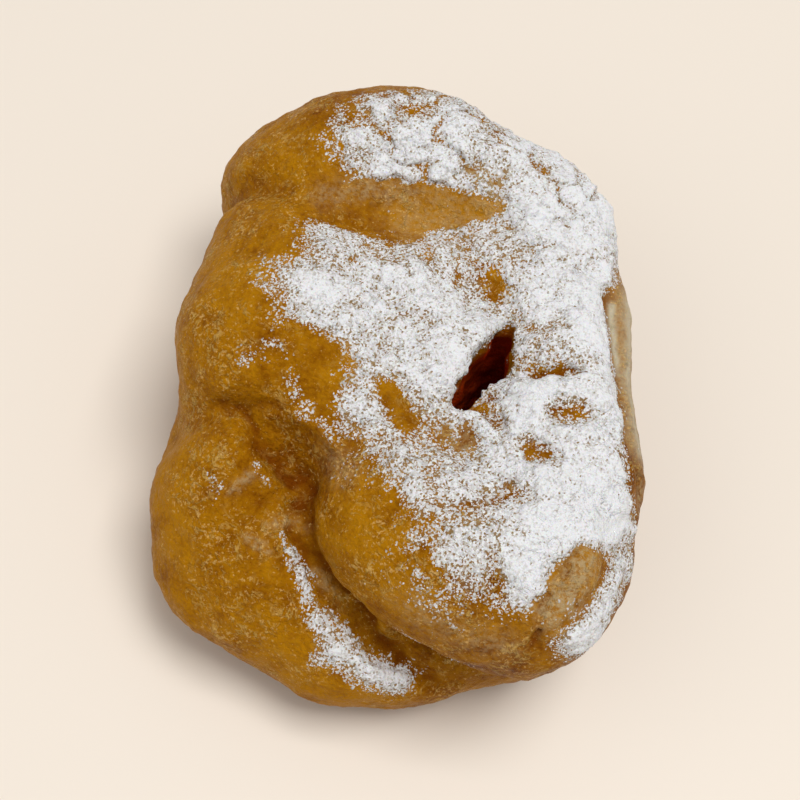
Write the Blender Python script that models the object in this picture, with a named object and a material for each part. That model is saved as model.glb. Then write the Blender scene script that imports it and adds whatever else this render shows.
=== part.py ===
"""A zeppola: one ring of yeast dough, pulled open by hand and fried until its hole has nearly closed.

The dough is two storeys that meet in a crease round its side, a base and a puffed cap. Each is a few lobes that
flow into each other, and folds are pressed into them. The skin is a net laid where a grid of distances passes
through nought. Metres, +Z up, the origin on the surface it rests on, under the middle of its outline.
"""

import math

import bpy
import numpy as np

# Finished size. Sizes are in millimetres until the skin is laid.
WIDTH = 93.5
LENGTH = 118.0
HEIGHT = 55.0
MM = 0.001

# Lobes of each storey: centre, radii, turn about Z in degrees.
BASE_LOBES = {
    "floor": ((1, 3, 15.5), (41, 53, 17.5), 0),
    "front_lip": ((-6, -37, 15), (31, 21, 14), -2),
    "left_lip": ((-21, -25, 19), (19, 25, 17), 12),
    "right_lip": ((15, -36.5, 15), (27, 18.5, 13.5), 25),
    "right_rim": ((29.5, -10, 20), (16, 36, 15), 7),
    "back": ((-6, 38, 18), (33, 22, 16), 8),
}
CAP_LOBES = {
    "plateau": ((8, 3, 32.5), (30, 42, 18), 0),
    "left_shoulder": ((-21.5, 0, 33.5), (21.5, 24, 17.5), 8),
    "left_back": ((-25.5, 19, 32), (16.5, 17, 17), 0),
    "back_left": ((-24.5, 38, 32), (21, 19, 18), 10),
    "back_roll": ((-1, 45, 37), (32, 16, 18), -12),
    "back_right": ((22, 25, 35), (17, 21, 16), 15),
    "chin": ((19.5, -34.3, 35), (27, 18.5, 15), -16),
    "right_arm": ((31, -9, 37), (15.5, 35, 15), 8),
}
LOBE_BLEND = 9.0

# The crease between the storeys is sharp in front and at the right, and soft left of the second of these.
SHARP_BLEND = 2.4
SOFT_BLEND = 10.0
SOFT_FROM = -14.0
SOFT_TO = -28.0

# Folds pressed into the dough: width, depth, the points each runs through. A bulge has a depth below nought.
FOLDS = {
    "back_notch": (3.5, 2.6, ((-46, 29, 30), (-38, 28.5, 42), (-33, 27, 47))),
    "under_shoulder": (3.5, 2.4, ((-43, -23, 27), (-34, -21, 37), (-26, -20, 40))),
    "pocket": (5.0, 3.0, ((-21, -20, 40), (-16, -24, 38), (-12, -28, 37))),
    "under_chin": (
        2.4,
        2.8,
        ((-12, -34, 34), (-8, -41, 31), (0, -47, 28), (8, -51.5, 25), (18, -54, 22), (31, -55, 22)),
    ),
    "lip_furrow": (5.0, 1.4, ((-18, -36, 35), (-21, -43, 32), (-24, -50, 24))),
    "back_step": (4.0, 2.0, ((-20, 23, 50), (-8, 24, 50), (1, 26.5, 50), (11, 30, 50))),
    "right_crevice": (
        2.4,
        2.0,
        ((34, 20, 48), (37, 9, 48), (39.5, -1, 47), (42, -9, 45), (45, -15, 42)),
    ),
    "funnel": (14.0, 4.0, ((11, -6, 50), (14, 10, 50))),
    "dimple_left": (4.0, 1.6, ((0, -14, 50),)),
    "dimple_right": (3.5, 1.4, ((29, -7, 52),)),
    "dimple_front": (4.0, 1.4, ((26, -17, 52), (22, -27, 51))),
    "knob": (6.5, -2.4, ((37, -38, 49), (36, -44, 46))),
    "knob_edge": (2.0, 1.4, ((33, -36, 51), (32, -43, 50), (31, -48, 46))),
    "chin_bulge": (11.0, -1.6, ((-2, -36, 43), (8, -45, 42))),
}

# Unevenness all over: height, waves per axis, start.
WAVES = (
    (0.55, (0.11, 0.05, 0.07), 0.4),
    (0.45, (-0.13, 0.17, 0.10), 1.9),
    (0.35, (0.24, 0.19, -0.22), 0.7),
)

# The hole: a slit, long in the direction of PINCH_TURN, wider at both mouths than at the throat.
PINCH_CENTRE = (14.2, -0.6)
PINCH_TURN = math.radians(70)
PINCH_LENGTH = 22.5
PINCH_WIDTH = 7.4
PINCH_BLEND = 3.0
MOUTH_TOP = 50.0
MOUTH_FOOT = 6.0
MOUTH_REACH = 6.0

# The flat it rests on: how much of its lowest dough is pressed flat, and how rounded the edge of the flat is.
FOOT_PRESSED = 0.8
FOOT_BLEND = 4.0

# The box of space that is searched for the skin, and how the skin is evened and thinned.
SEARCH_LOW = (-54.0, -68.0, -3.0)
SEARCH_HIGH = (54.0, 72.0, 62.0)
SEARCH_STEP = 1.1
SOFTENINGS = 2
TRIANGLES = 9500

CRUST_COLOUR = (0.36, 0.15, 0.03, 1.0)
CRUST_ROUGHNESS = 0.55


def clear_scene():
    for obj in list(bpy.data.objects):
        bpy.data.objects.remove(obj)


def smooth_lower(a, b, blend):
    """The lower of two distances, rounded where they cross; blend may differ from point to point."""
    share = np.clip(0.5 + 0.5 * (b - a) / blend, 0, 1)
    return b * (1 - share) + a * share - blend * share * (1 - share)


def smooth_higher(a, b, blend):
    return -smooth_lower(-a, -b, blend)


def turned(points, centre, angle):
    """Points seen from a centre, in axes turned about Z."""
    local = points - np.array(centre, float)
    c, s = math.cos(angle), math.sin(angle)
    x = c * local[:, 0] + s * local[:, 1]
    y = -s * local[:, 0] + c * local[:, 1]
    return np.column_stack([x, y, local[:, 2]])


def oval_distance(local, radii):
    """About how far outside an oval or an ellipsoid round the origin each point is, negative inside."""
    near = np.sqrt(sum((local[:, i] / r) ** 2 for i, r in enumerate(radii)))
    slope = np.sqrt(sum((local[:, i] / r**2) ** 2 for i, r in enumerate(radii)))
    return near * (near - 1) / np.maximum(slope, 1e-9)


def storey_distance(points, lobes):
    found = None
    for centre, radii, turn in lobes.values():
        this = oval_distance(turned(points, centre, math.radians(turn)), radii)
        found = this if found is None else smooth_lower(found, this, LOBE_BLEND)
    return found


def path_distance(points, path):
    """How far each point is from a line of straight runs."""
    path = np.array(path, float)
    nearest = np.linalg.norm(points - path[0], axis=1)
    for start, end in zip(path[:-1], path[1:]):
        run = end - start
        along = np.clip((points - start) @ run / (run @ run), 0, 1)
        here = np.linalg.norm(points - start - along[:, None] * run, axis=1)
        nearest = np.minimum(nearest, here)
    return nearest


def fold_depth(points):
    depth = np.zeros(len(points))
    for width, deepest, path in FOLDS.values():
        depth += deepest * np.exp(-((path_distance(points, path) / width) ** 2))
    return depth


def unevenness(points):
    return sum(height * np.sin(points @ np.array(wave) + start) for height, wave, start in WAVES)


def mouth_widening(height):
    """How much wider the hole is at a height than at its throat."""
    above = np.maximum(height - MOUTH_TOP + MOUTH_REACH, 0)
    below = np.maximum(MOUTH_FOOT + MOUTH_REACH - height, 0)
    return (above**2 + below**2) / (2 * MOUTH_REACH)


def pinch_distance(points):
    local = turned(points, (*PINCH_CENTRE, 0), PINCH_TURN)[:, :2]
    wider = mouth_widening(points[:, 2])
    return oval_distance(local, (PINCH_LENGTH / 2 + wider, PINCH_WIDTH / 2 + wider))


def storey_blend(points):
    """How rounded the crease between the storeys is."""
    share = np.clip((points[:, 0] - SOFT_FROM) / (SOFT_TO - SOFT_FROM), 0, 1)
    return SHARP_BLEND + (SOFT_BLEND - SHARP_BLEND) * share * share * (3 - 2 * share)


def dough_distance(points):
    """About how far outside the dough each point is, negative inside."""
    base = storey_distance(points, BASE_LOBES)
    cap = storey_distance(points, CAP_LOBES)
    body = smooth_lower(base, cap, storey_blend(points)) + fold_depth(points) + unevenness(points)
    body = smooth_higher(body, -pinch_distance(points), PINCH_BLEND)
    return smooth_higher(body, -points[:, 2], FOOT_BLEND)


def search_grid():
    """The distance at every point of a grid over the search box."""
    spans = [np.arange(low, high, SEARCH_STEP) for low, high in zip(SEARCH_LOW, SEARCH_HIGH)]
    grid = np.stack(np.meshgrid(*spans, indexing="ij"), axis=-1)
    return dough_distance(grid.reshape(-1, 3)).reshape(grid.shape[:3])


def corner(values, offset):
    """The value at one corner of every cell; offset says which."""
    ends = [size - 1 for size in values.shape]
    return values[tuple(slice(o, o + end) for o, end in zip(offset, ends))]


def net_points(values):
    """The cells that the skin passes through, and its point in each, in steps from the grid's start."""
    cells = tuple(size - 1 for size in values.shape)
    total = np.zeros((*cells, 3))
    count = np.zeros(cells)
    for axis in range(3):
        step = np.eye(3, dtype=int)[axis]
        for offset in np.ndindex(2, 2, 2):
            if offset[axis]:
                continue
            near, far = corner(values, offset), corner(values, np.array(offset) + step)
            crossed = (near < 0) != (far < 0)
            along = near[crossed] / (near[crossed] - far[crossed])
            total[crossed] += np.array(offset) + along[:, None] * step
            count += crossed
    found = count > 0
    return found, np.argwhere(found) + total[found] / count[found][:, None]


def net_faces(values, found):
    """Four points round every grid edge that the skin crosses, wound to face outward."""
    number = np.full(found.shape, -1)
    number[found] = np.arange(found.sum())
    inside = values < 0
    faces = []
    for axis in range(3):
        near = np.moveaxis(inside, axis, 0)[:-1, 1:-1, 1:-1]
        far = np.moveaxis(inside, axis, 0)[1:, 1:-1, 1:-1]
        cells = np.moveaxis(number, axis, 0)
        ring = np.stack([cells[:, :-1, :-1], cells[:, 1:, :-1], cells[:, 1:, 1:], cells[:, :-1, 1:]], axis=-1)
        if axis == 1:
            ring = ring[..., ::-1]
        faces.append(ring[near & ~far])
        faces.append(ring[far & ~near][:, ::-1])
    return np.concatenate(faces)


def add_modifier(obj, name, kind, **settings):
    modifier = obj.modifiers.new(name, kind)
    for key, value in settings.items():
        setattr(modifier, key, value)


def add_skin():
    values = search_grid()
    found, points = net_points(values)
    mesh = bpy.data.meshes.new("skin")
    points = points * SEARCH_STEP + np.array(SEARCH_LOW)
    mesh.from_pydata((points * MM).tolist(), [], net_faces(values, found).tolist())
    skin = bpy.data.objects.new("skin", mesh)
    bpy.context.scene.collection.objects.link(skin)
    add_modifier(skin, "soften", "SMOOTH", factor=0.5, iterations=SOFTENINGS)
    return skin


def evened_mesh(obj):
    """The object's mesh as its modifiers leave it; the object itself is removed."""
    graph = bpy.context.evaluated_depsgraph_get()
    mesh = bpy.data.meshes.new_from_object(obj.evaluated_get(graph))
    bpy.data.objects.remove(obj)
    return mesh


def fit_to_size(mesh):
    """Bring the outline to its named size, centre it, and press the lowest dough flat at Z = 0."""
    points = np.empty(len(mesh.vertices) * 3)
    mesh.vertices.foreach_get("co", points)
    points = points.reshape(-1, 3) / MM
    low, high = points.min(0), points.max(0)
    low[2] += FOOT_PRESSED
    middle = (low + high) / 2
    middle[2] = low[2]
    points = (points - middle) * (WIDTH, LENGTH, HEIGHT) / (high - low)
    points[:, 2] = np.maximum(points[:, 2], 0)
    mesh.vertices.foreach_set("co", (points * MM).ravel())
    mesh.update()


def crust_material():
    material = bpy.data.materials.new("fried_crust")
    material.use_nodes = True
    shader = material.node_tree.nodes["Principled BSDF"]
    shader.inputs["Base Color"].default_value = CRUST_COLOUR
    shader.inputs["Roughness"].default_value = CRUST_ROUGHNESS
    shader.inputs["Metallic"].default_value = 0.0
    return material


def build():
    clear_scene()
    mesh = evened_mesh(add_skin())
    fit_to_size(mesh)
    mesh.shade_smooth()
    mesh.materials.append(crust_material())
    dough = bpy.data.objects.new("zeppola", mesh)
    bpy.context.scene.collection.objects.link(dough)
    triangles = 2 * len(mesh.polygons)
    add_modifier(dough, "thin", "DECIMATE", ratio=TRIANGLES / triangles, use_collapse_triangulate=True)


build()
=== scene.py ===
"""The looks of a zeppola: its fried skin, the powdered sugar on it, and loose grains round the sugar's edge.

The skin follows the same lobes and folds as the solid it replaces, with finer folds, wrinkles and blisters.
Sizes are in millimetres until a mesh is made from them. Places are in the frame that the dough is drawn in,
until drawn_to_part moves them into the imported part's.
"""

import math
from itertools import combinations

import bpy
import numpy as np
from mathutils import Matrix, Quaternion, Vector


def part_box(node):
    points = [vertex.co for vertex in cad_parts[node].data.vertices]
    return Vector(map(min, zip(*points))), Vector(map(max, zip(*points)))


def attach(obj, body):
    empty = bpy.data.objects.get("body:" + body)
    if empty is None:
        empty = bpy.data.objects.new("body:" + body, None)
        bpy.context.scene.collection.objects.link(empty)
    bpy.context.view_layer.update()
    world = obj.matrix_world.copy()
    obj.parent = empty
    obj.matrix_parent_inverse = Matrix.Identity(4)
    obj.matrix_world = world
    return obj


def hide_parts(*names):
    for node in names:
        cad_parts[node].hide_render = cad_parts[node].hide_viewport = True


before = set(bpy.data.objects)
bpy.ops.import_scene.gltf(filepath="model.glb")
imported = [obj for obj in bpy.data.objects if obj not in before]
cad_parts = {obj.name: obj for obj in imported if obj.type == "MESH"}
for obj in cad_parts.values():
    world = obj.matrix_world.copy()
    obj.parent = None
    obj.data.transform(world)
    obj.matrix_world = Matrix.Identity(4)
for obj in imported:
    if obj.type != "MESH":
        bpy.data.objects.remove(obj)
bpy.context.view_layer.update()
NODE = "zeppola"
BODY = "root"
MM = 0.001

# The solid's own lobes, each a centre, three radii and a turn about Z in degrees, and how they run together.
BASE_LOBES = (
    ((1, 3, 15.5), (41, 53, 17.5), 0),
    ((-6, -37, 15), (31, 21, 14), -2),
    ((-21, -25, 19), (19, 25, 17), 12),
    ((15, -36.5, 15), (27, 18.5, 13.5), 25),
    ((29.5, -10, 20), (16, 36, 15), 7),
    ((-6, 38, 18), (33, 22, 16), 8),
)
CAP_LOBES = (
    ((8, 3, 32.5), (30, 42, 18), 0),
    ((-21.5, 0, 33.5), (21.5, 24, 17.5), 8),
    ((-25.5, 19, 32), (16.5, 17, 17), 0),
    ((-24.5, 38, 32), (21, 19, 18), 10),
    ((-1, 45, 37), (32, 16, 18), -12),
    ((22, 25, 35), (17, 21, 16), 15),
    ((19.5, -34.3, 35), (27, 18.5, 15), -16),
    ((31, -9, 37), (15.5, 35, 15), 8),
)
LOBE_BLEND = 9.0
SHARP_BLEND = 1.4
SOFT_BLEND = 10.0
SOFT_FROM = -14.0
SOFT_TO = -28.0

# The solid's own folds: width, depth, path. A bulge has a depth below nought.
BROAD_FOLDS = (
    (3.5, 2.6, ((-46, 29, 30), (-38, 28.5, 42), (-33, 27, 47))),
    (3.5, 2.4, ((-43, -23, 27), (-34, -21, 37), (-26, -20, 40))),
    (5.0, 3.0, ((-21, -20, 40), (-16, -24, 38), (-12, -28, 37))),
    (2.4, 2.8, ((-12, -34, 34), (-8, -41, 31), (0, -47, 28), (8, -51.5, 25), (18, -54, 22), (31, -55, 22))),
    (5.0, 1.4, ((-18, -36, 35), (-21, -43, 32), (-24, -50, 24))),
    (4.0, 2.0, ((-20, 23, 50), (-8, 24, 50), (1, 26.5, 50), (11, 30, 50))),
    (2.4, 2.0, ((34, 20, 48), (37, 9, 48), (39.5, -1, 47), (42, -9, 45), (45, -15, 42))),
    (14.0, 4.0, ((11, -6, 50), (14, 10, 50))),
    (4.0, 1.6, ((0, -14, 50),)),
    (3.5, 1.4, ((29, -7, 52),)),
    (4.0, 1.4, ((26, -17, 52), (22, -27, 51))),
    (4.5, -2.4, ((37.5, -36.5, 48), (36, -41.5, 48), (34, -46.5, 45.5))),
    (8.0, -2.4, ((19, 47, 44), (27, 40, 44))),
    (8.0, -2.2, ((46, -26, 34), (47, -14, 36))),
    (6.0, 1.6, ((46, -42, 36), (42, -48, 34))),
    (4.5, 2.2, ((-48, -22, 20), (-43, -22, 29))),
    (11.0, -1.6, ((-2, -36, 43), (8, -45, 42))),
)

# Long low waves over the whole: height, how fast they turn along each axis, and start.
WAVES = (
    (0.55, (0.11, 0.05, 0.07), 0.4),
    (0.45, (-0.13, 0.17, 0.10), 1.9),
    (0.35, (0.24, 0.19, -0.22), 0.7),
)

# The pinched hole, its wider mouths at the top and the foot, and the tears in its wall: size, depth, seed.
PINCH_CENTRE = (14.2, -0.6)
PINCH_TURN = math.radians(70)
PINCH_LENGTH = 22.5
PINCH_WIDTH = 6.6
PINCH_BLEND = 3.0
MOUTH_TOP = 50.0
MOUTH_FOOT = 6.0
MOUTH_REACH = 6.0
TEARS = ((5.0, 1.0, 71), (2.2, 0.6, 73))
TEARS_REACH = 8

# The foot: how rounded its edge is, and how far the dough is pressed flat.
FOOT_BLEND = 4.0
FOOT_PRESSED = 0.8

# Fine folds that only the skin has: width, depth, path, and how they stray from it: size, reach, seed.
FOLD_WANDER = ((4.0, 1.0, 101), (1.6, 0.5, 111))
FINE_FOLDS = (
    (1.2, 2.0, (
        (-30, -19, 39), (-25, -19.5, 38.5), (-23, -21.5, 37.5),
        (-20, -25, 35.5), (-16, -27, 34), (-14, -28, 33.5),
    )),
    (1.7, 2.2, ((-13, -27, 34), (-11, -29, 33.5), (-11.5, -32, 32.5))),
    (1.0, 2.4, (
        (-11.5, -32, 32.5), (-12, -36.5, 31.5), (-10, -38.5, 31),
        (-6, -40.5, 30.5), (0, -44.5, 29.5), (7, -50, 27.5),
    )),
    (1.0, 2.6, ((7, -50, 27.5), (15, -53, 21.5), (24, -54, 20.5), (34, -51, 20.5))),
    (1.3, 1.2, ((-8, -25, 43), (-10.5, -26, 38), (-11, -28, 34.5))),
    (1.5, -0.9, ((-23, -19.5, 39.5), (-19, -19.5, 41), (-16, -20.5, 43), (-12, -21.5, 43.5), (-8, -24, 44))),
    (1.6, -0.9, ((-27, -21.5, 38), (-24, -25, 36), (-19, -29, 35), (-16, -31, 34.5))),
    (0.9, 1.0, ((-14, -30, 34), (-17, -33, 34.5), (-20, -36.5, 34.5), (-22, -41.5, 31.5))),
    (0.7, -0.9, ((-24, -33.5, 35), (-22.5, -31.5, 35.5), (-21, -30, 36))),
    (0.7, -1.1, ((-19, -40.5, 32.5), (-17, -41, 32.5), (-15, -42, 32.5))),
    (0.8, -1.2, ((-16, -37.5, 33), (-14, -36, 33), (-12, -34.5, 32), (-9.5, -36, 32.5))),
    (0.8, 0.9, ((-15, -38.5, 32.5), (-13.5, -41.5, 31.5), (-11, -44.5, 30.5))),
    (0.8, -0.9, ((-6, -42.5, 29.5), (-1.5, -45.5, 28.5), (3, -48, 28))),
    (1.1, 2.2, (
        (33.5, 23, 47), (35, 20, 46), (36, 14.5, 46), (37.5, 10.5, 45.5),
        (39, 6.5, 44.5), (40, 0, 45), (42, -7, 45),
    )),
    (1.3, 1.8, ((3.5, -45.5, 29), (6, -48, 27))),
    (1.5, 2.0, ((9, -49.5, 25), (13, -51.5, 22))),
    (1.0, -1.3, ((0.5, -43, 31.5), (2.5, -44.5, 30.5))),
    (1.1, -1.3, ((6.5, -47, 30), (9, -48.5, 28.5))),
    (3.4, -2.4, ((20.5, 5.5, 46), (25, 3.5, 48))),
    (1.3, 3.4, ((17, -1.5, 46), (22, -2, 48.5), (26.5, -0.5, 49), (30, 1, 50))),
    (1.3, 2.0, ((16, -7, 46), (20, -5.5, 48))),
    (1.1, 1.4, ((14, -10.5, 46), (18, -12, 47.5))),
    (1.6, -1.4, ((10.5, -13.5, 46.5), (14.5, -14, 47.5), (17, -15.5, 48.5))),
    (0.8, 1.9, ((35.5, -35.5, 50.5), (34, -41.5, 49.5), (32.5, -45.5, 47), (33, -50, 43))),
    (2.2, -1.5, ((8, -7, 47), (9.5, 0, 47.5), (12, 6, 47.5))),
    (0.8, 1.0, ((41.5, -34, 47.5), (41.5, -38, 47.5), (40, -41.5, 47.5), (37.5, -44.5, 47.5), (36, -48, 46))),
)

# The skin's net: the box searched for it, the step of its grid, and how many steps the coarse grid takes at
# once. The fine grid is worked out within a band of the skin, in parts, to save memory, and then evened out.
SEARCH_LOW = (-52.0, -64.0, -3.0)
SEARCH_HIGH = (52.0, 68.0, 60.0)
NET_STEP = 0.68
COARSE = 4
BAND = 4.2
SEARCH_PARTS = 12
EVENING_ROUNDS = 2

# Noise: layers, each half as large and half as strong as the one before, and what mixes a cell's draw.
NOISE_LAYERS = 3
CELL_MIXERS = (73856093, 19349663, 83492791)
SEED_MIXER = 2654435761
LAST_MIXER = 1274126177

# Wrinkles and blisters pushed into the skin: size across, height, seed.
WRINKLES = ((9.0, 0.50, 3), (3.6, 0.38, 5), (1.7, 0.24, 8))

# The sheet of powdered sugar on the top, drawn from above. At the left its edge is softer and its cover
# thinner than at the right, and the pairs say where along X that changes. A strip, and all that is low, steep
# or in a fold, stay bare.
SUGAR_OUTLINE = (
    (-25, 37.5), (-18, 30.5), (-17, 24), (-24, 17), (-26, 1), (-22, -5), (-12, -7), (-10, -14.5), (-3, -29),
    (0, -30), (6.5, -36), (8, -42), (14, -47), (31, -48), (34, -42.5), (37, -36.5), (45, -30), (46, -19.5),
    (41, -13.5), (39.5, -3), (37, 7.5), (33.5, 19), (37, 30), (34, 43), (21, 55), (4, 60), (-12, 57),
    (-21, 47),
)
LEFT_EDGE = 8.0
RIGHT_EDGE = 3.0
EDGE_TURNS = (22, 32)
FULLEST_LEFT = 0.93
FULLEST_RIGHT = 1.2
FULLNESS_TURNS = (8, 26)
COVER_AT_OUTLINE = 0.45
NO_SUGAR = -1.0
SHEET_LOWEST = 38
BARE_STRIP = (
    (-29, 22), (-23, 29.5), (-12, 33), (1, 33.5), (11, 33), (3, 29.5), (-4, 25), (-9, 20), (-18, 22),
)
STRIP_EDGE = 1.5
BARED_BY_STRIP = 1.5
STEEP_AND_LEVEL = (0.08, 0.50)
BARED_BY_STEEPNESS = 1.3
BARED_BY_FOLDS = 1.1

# How the sugar's places stray, its uneven patches, and the cracks in it, which are deeper at the far side.
SUGAR_WANDER = ((8.0, 1.8, 81), (3.0, 0.9, 91))
SUGAR_PATCHES = ((7.0, 0.52, 21), (2.2, 0.20, 31))
CRACK_SPACING = 9.0
CRACK_WIDTH = 0.09
CRACK_SEED = 55
CRACK_DEPTH = 0.2
CRACK_DEEPER = 0.6
CRACKS_DEEPEN = (28, 38)

# Streaks of sugar, thin trails of its dust, and spots without it: width, cover or what is taken off it, path.
STREAK_SLOPE = 0.6
TRAIL_SLOPE = 1.6
SUGAR_STREAKS = (
    (0.8, 0.75, ((-13, -38, 32.5), (-11.5, -41.5, 31.5))),
    (1.3, 1.3, ((-9.5, -41.5, 30), (-7, -44.5, 29.5), (-5, -48, 28.5), (-3, -50.5, 27), (0, -53.5, 26))),
    (1.5, 1.1, ((-1.5, -48.5, 27.5), (2, -50.5, 26), (5, -52.5, 25))),
    (2.1, 1.2, ((1, -54, 24), (5, -55, 23.5), (9, -55, 22.5), (14, -54.5, 20.5))),
    (2.6, 1.3, ((38.5, -48, 44), (41, -45, 45), (43.5, -41.5, 45), (45, -37, 44.5), (45.5, -33, 44))),
    (5.0, 1.05, ((-9, 15, 48), (2, 20, 49))),
    (4.0, 1.3, ((12, 42, 50), (22, 34, 49), (28, 25, 47))),
    (3.0, 1.1, ((40, -48.5, 42), (43, -45.5, 42.5), (46, -41, 42), (47.5, -36, 41.5), (48, -31, 41))),
    (1.6, 0.85, ((8.5, -8, 46.5), (10, -1, 47), (13, 6, 47), (16, 10.5, 47))),
)
SUGAR_TRAILS = (
    (5.0, 0.22, ((-27, -13, 47), (-22.5, -9, 48.5), (-19.5, -12.5, 47), (-14.5, -19, 44))),
    (3.6, 0.29, ((-14.5, -19, 44), (-9.5, -22.5, 44.5), (-5, -26, 44.5))),
    (1.8, 0.46, ((-21.5, -28, 36.5), (-19, -30, 35.5))),
    (4.0, 0.20, ((-33, -27, 33), (-26, -34, 33.5))),
    (2.6, 0.40, ((44.5, -15, 44), (46.5, -24, 42))),
    (4.0, 0.16, ((-37, -1, 44), (-32, -7, 46))),
    (4.0, 0.22, ((11, -51, 34.5), (25, -53, 32.5))),
)
BARE_SPOTS = (
    (1.9, 1.1, ((-1.5, -12.5, 46.5), (0.5, -14, 46), (3, -16.5, 46.5))),
    (3.2, 0.9, ((-19, -7, 49), (-14, -10, 48.5), (-12, -15, 46.5))),
    (1.4, 0.7, ((-2, -26, 48),)),
    (2.6, 0.95, ((29, -9, 49.5), (31.5, -8.5, 50))),
    (2.3, 0.9, ((25.5, -18, 49.5), (27, -19, 50))),
    (2.3, 0.7, ((21, -28.5, 49.5), (22.5, -26, 49), (25, -28.5, 50.5))),
    (1.2, 0.6, ((16.5, -34, 51),)),
    (2.6, 0.7, ((11.5, -16.5, 46.5), (13.5, -19, 47))),
    (1.8, 0.75, ((10.5, 19, 47.5), (12.5, 14.5, 46))),
    (1.1, 0.5, ((2.5, -1, 48),)),
    (1.3, 0.5, ((-4.5, -4, 48),)),
    (1.8, 0.7, ((13.5, -9.5, 45), (16.5, -8, 46), (19, -10.5, 47.5), (18.5, -14, 48))),
    (1.5, 0.75, ((19, 3, 44), (22, -0.5, 48), (27, 1, 49))),
    (1.6, 0.5, ((18, 10, 47), (22, 8.5, 47.5), (27, 9.5, 48))),
    (1.5, 0.55, ((12, -43, 49), (14, -45.5, 47.5))),
    (1.4, 0.6, ((22.5, -40, 50), (24, -43.5, 48.5))),
    (9.0, 0.32, ((3, -24, 48), (17, -36.5, 50))),
    (5.0, 0.30, ((14, -38, 50), (22, -38, 51))),
    (6.0, 0.2, ((9, 22, 48), (13, 16, 48))),
    (3.2, 0.80, ((4, 37.5, 52), (9, 36.5, 52))),
    (5.5, 0.35, ((19, 7, 46), (24, 4, 48))),
    (1.6, 1.4, ((17.5, 9.5, 44.5), (14.5, 6, 43))),
    (2.2, 0.6, ((16.5, -5.5, 45), (18.5, -2.5, 46.5))),
    (1.8, 0.5, ((-14.5, 42, 54), (-14.5, 47.5, 54.5), (-9.5, 47.5, 55))),
    (1.2, 0.5, ((26, 32.5, 48.5), (27.5, 40, 47.5), (30, 37, 46))),
    (2.5, 1.7, ((37.5, -37, 50.5), (36.5, -41, 50), (34.5, -45.5, 48), (33.5, -50, 44))),
)

# The sugar's layer. It is made where the cover passes SUGAR_FROM, and lies sunk in the skin where the cover
# is under SUGAR_SHOWS. The pairs are the covers between which it thickens and its clumps grow. Clumps: size,
# height, seed.
SUGAR_FROM = 0.34
SUGAR_SHOWS = 0.42
SUGAR_THICK = 0.9
THICKENS = (0.45, 1.15)
SUGAR_START = 0.12
SUGAR_SUNK = 0.35
CLUMPS = ((6.0, 0.85, 61), (2.4, 0.40, 63), (0.9, 0.13, 65))
CLUMPS_GROW = (0.35, 0.75)

# Loose grains: how many, their radii, and how much more often they are small. Then how uneven and stretched
# each one is, how many radii it stands off the skin, and the covers at which grains begin and end.
GRAINS = 5000
GRAIN_SEED = 11
GRAIN_RADII = (0.07, 0.20)
SMALL_MORE_OFTEN = 2.2
GRAIN_DENTS = (0.7, 1.25)
GRAIN_STRETCH = (0.75, 1.2)
GRAIN_LIFT = 0.35
GRAINS_BEGIN = (0.0, 0.4)
GRAINS_END = (0.9, 0.5)
STRAY_GRAINS = 0.0002
LUMP_SIDE = 1.1

# What counts as a hollow: rounds of evening out, and the depth that makes a full one.
SHARP_HOLLOWS = (12, 0.30)
BROAD_HOLLOWS = (60, 1.6)
HOLLOWS_UNDER_SUGAR = (8, 0.5)
HOLLOWS_IN_SUGAR = (30, 0.5)
# How much the sharp hollows count, and how much painted shade the folds take in the skin's colour, at most
# DARKEST_FOLD.
SHARP_SHARE = 0.6
FOLD_SHARE = 0.8
DARKEST_FOLD = 0.85

# The throat of the hole, and the heights between which its colour comes in. The pale line at the right, where
# the two fried faces part, and the paler rim outside it. Places that stayed pale: width, share, path.
HOLE_PLAN = ((11, -9, 1), (17, 7.5, 1))
HOLE_WIDTH = 6.0
HOLE_DEEPENS = (46, 40)
SEAM_WIDTH = 0.8
RIM_WIDTH = 2.8
RIM_SHARE = 0.75
SEAM = ((35, 20.5, 45.5), (35.3, 18, 45.5), (36.5, 13.5, 45), (37.5, 10, 44.5), (39, 6.5, 44.5))
RIM = ((38, 23, 43.5), (41, 11.5, 43), (43.5, 0, 42.5), (45, -7, 42))
PALE_PLACES = (
    (3.6, 1.4, ((37.5, -37, 50.5), (36.5, -41, 50), (34.5, -45.5, 48))),
    (3.2, 0.6, ((12, -49.5, 42), (20, -50.5, 41), (28, -51, 41))),
    (4.0, 1.1, ((38, 21, 43), (41, 11.5, 42.5), (43.5, 0, 42), (45, -6, 42))),
    (2.6, 0.8, ((35, 33, 42), (38, 25, 42), (41, 12, 40.5), (45, -6, 40), (47, -18, 40))),
    (5.0, 0.55, ((-6, 27, 47), (8, 30, 48))),
    (2.4, 0.8, ((-12, 31, 47), (-2, 33, 48), (6, 33, 49))),
    (2.0, 0.55, ((3, 29.5, 48), (10, 32.5, 49))),
    (2.6, 0.7, ((-23, 26, 49), (-14, 31.5, 49))),
    (3.0, 0.7, ((11.5, -17, 46.5), (14.5, -19, 47))),
    (3.6, 1.3, ((4, 37.5, 52), (9, 36.5, 52))),
    (3.0, 0.6, ((-9, -26, 42), (-5, -28, 43))),
    (0.9, 0.8, ((-24, -33.5, 35), (-22.5, -31.5, 35.5), (-21, -30, 36))),
    (0.9, 0.9, ((-19, -40.5, 32.5), (-17, -41, 32.5), (-15, -42, 32.5))),
    (1.0, 0.9, ((-16, -37.5, 33), (-14, -36, 33), (-12, -34.5, 32), (-9.5, -36, 32.5))),
    (0.9, 0.7, ((-6, -42.5, 29.5), (-1.5, -45.5, 28.5), (3, -48, 28))),
)

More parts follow.
